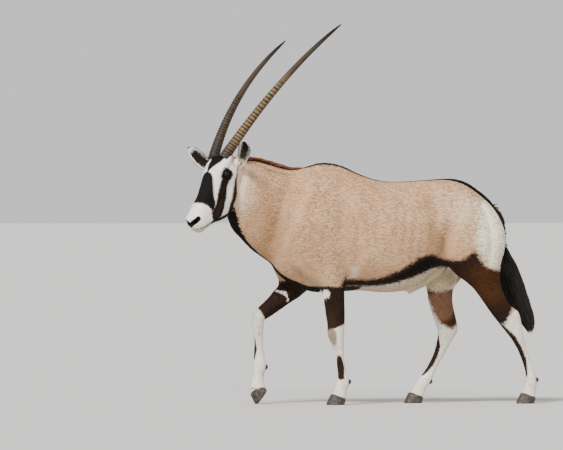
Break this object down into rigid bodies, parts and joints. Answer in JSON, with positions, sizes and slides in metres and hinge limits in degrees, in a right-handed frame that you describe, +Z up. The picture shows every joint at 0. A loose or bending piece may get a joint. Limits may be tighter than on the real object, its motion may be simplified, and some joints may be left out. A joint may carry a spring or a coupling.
{
  "type": "gemsbok",
  "caption": "Still life-size model of a walking gemsbok bull, head turned to its left, with long straight ringed horns, a short mane and a tufted tail.",
  "frame": {"origin": "on the ground under the middle of the animal's bounding box", "axes": "+Z up, the animal faces -X and its left side is towards -Y"},
  "size_m": [1.8212, 0.6292, 1.9045],
  "materials": {
    "tan_coat": "short grey-fawn hair, matt with a faint sheen",
    "face_coat": "short white hair with black and brown bands",
    "leg_coat": "short hair, dark brown above and white below",
    "dark_hair": "long coarse black hair",
    "horn_sheath": "dark brown keratin, ringed low down and smooth at the tip",
    "claw_horn": "dark keratin, satin",
    "eyeball": "wet dark brown eye"
  },
  "bodies": {
    "root": {"claw_fore_left_inner": "claw_horn", "claw_fore_left_outer": "claw_horn", "claw_fore_right_inner": "claw_horn", "claw_fore_right_outer": "claw_horn", "claw_hind_left_inner": "claw_horn", "claw_hind_left_outer": "claw_horn", "claw_hind_right_inner": "claw_horn", "claw_hind_right_outer": "claw_horn", "ear_left": "face_coat", "ear_right": "face_coat", "eye_left": "eyeball", "eye_right": "eyeball", "foreleg_left": "leg_coat", "foreleg_right": "leg_coat", "head": "face_coat", "hindleg_left": "leg_coat", "hindleg_right": "leg_coat", "horn_left": "horn_sheath", "horn_right": "horn_sheath", "mane": "dark_hair", "neck": "tan_coat", "tail": "dark_hair", "torso": "tan_coat"}
  },
  "joints": []
}
